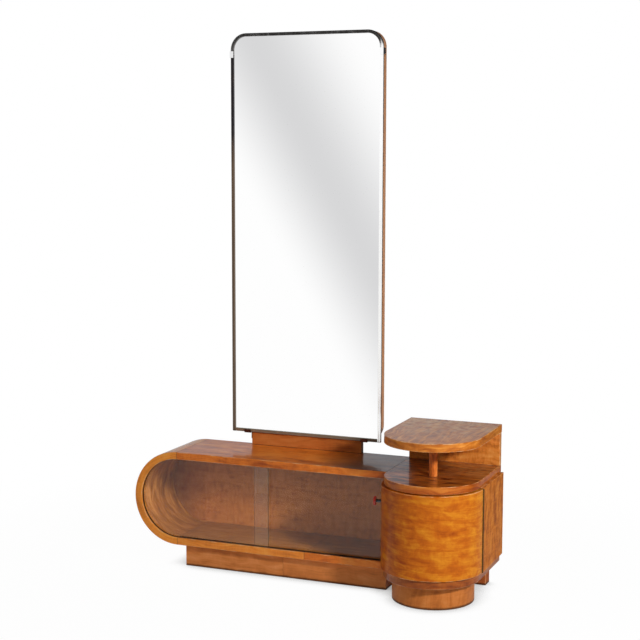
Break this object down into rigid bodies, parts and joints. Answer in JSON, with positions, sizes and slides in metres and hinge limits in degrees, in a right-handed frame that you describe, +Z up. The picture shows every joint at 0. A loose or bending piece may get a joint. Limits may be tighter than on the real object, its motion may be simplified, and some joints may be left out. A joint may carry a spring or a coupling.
{
  "type": "dressing table",
  "caption": "Low dressing table with a round-ended glazed case, a drum cupboard with a bent door, a raised half-round shelf and a tall framed mirror.",
  "frame": {"origin": "on the floor, below the middle of the whole object's box", "axes": "+X to the right seen from the front, +Y to the back, +Z up"},
  "size_m": [1.2554, 0.431, 1.83],
  "materials": {
    "figured_wood": "polished lacquer over figured honey-coloured veneer",
    "plinth_wood": "satin lacquer",
    "inner_wood": "thin varnish",
    "pane_glass": "clear",
    "mirror_glass": "silvered",
    "plated_metal": "nickel plate",
    "hinge_brass": "darkened brass",
    "red_plastic": "gloss",
    "black_plastic": "gloss",
    "steel": "bright zinc"
  },
  "bodies": {
    "table": {"case_top_board": "figured_wood", "case_bottom_board": "figured_wood", "case_round_end": "figured_wood", "drum_top_board": "figured_wood", "drum_bottom_board": "figured_wood", "drum_side_panel": "figured_wood", "raised_shelf": "figured_wood", "shelf_upright": "figured_wood", "shelf_post": "figured_wood", "mirror_base": "figured_wood", "mirror_backboard": "figured_wood", "plinth_front": "plinth_wood", "plinth_back": "plinth_wood", "plinth_left_end": "plinth_wood", "plinth_right_end": "plinth_wood", "drum_plinth": "plinth_wood", "rear_foot": "plinth_wood", "case_back_panel": "inner_wood", "partition": "inner_wood", "drum_back_panel": "inner_wood", "drum_shelf": "inner_wood", "end_joint_tongues": "inner_wood", "plinth_glue_blocks": "inner_wood", "shelf_bearers": "inner_wood", "batten_left": "inner_wood", "batten_right": "inner_wood", "mirror_glass": "mirror_glass", "frame_top_bow": "plated_metal", "frame_left_rail": "plated_metal", "frame_right_rail": "plated_metal", "frame_bottom_rail": "plated_metal", "frame_left_clip": "plated_metal", "frame_right_clip": "plated_metal", "base_clips": "plated_metal", "hinge_panel_leaf": "hinge_brass", "hinge_pin": "hinge_brass", "catch_strike": "hinge_brass"},
    "door": {"curved_door": "figured_wood", "hinge_door_leaf": "hinge_brass", "knob_stem": "black_plastic", "knob_disc": "red_plastic", "catch_barrel": "hinge_brass", "catch_bolt": "steel"},
    "pane_left": {"glass_pane_left": "pane_glass"},
    "pane_right": {"glass_pane_right": "pane_glass"}
  },
  "joints": [
    {"name": "door_hinge", "type": "hinge", "parent": "table", "child": "door", "pos_m": [0.62425, -0.0495, 0.24], "axis": [0, 0, 1], "range_deg": [0, 160]},
    {"name": "left_pane_slide", "type": "slide", "parent": "table", "child": "pane_left", "axis": [1, 0, 0], "range_m": [0, 0.415]},
    {"name": "right_pane_slide", "type": "slide", "parent": "table", "child": "pane_right", "axis": [1, 0, 0], "range_m": [-0.28, 0]}
  ]
}
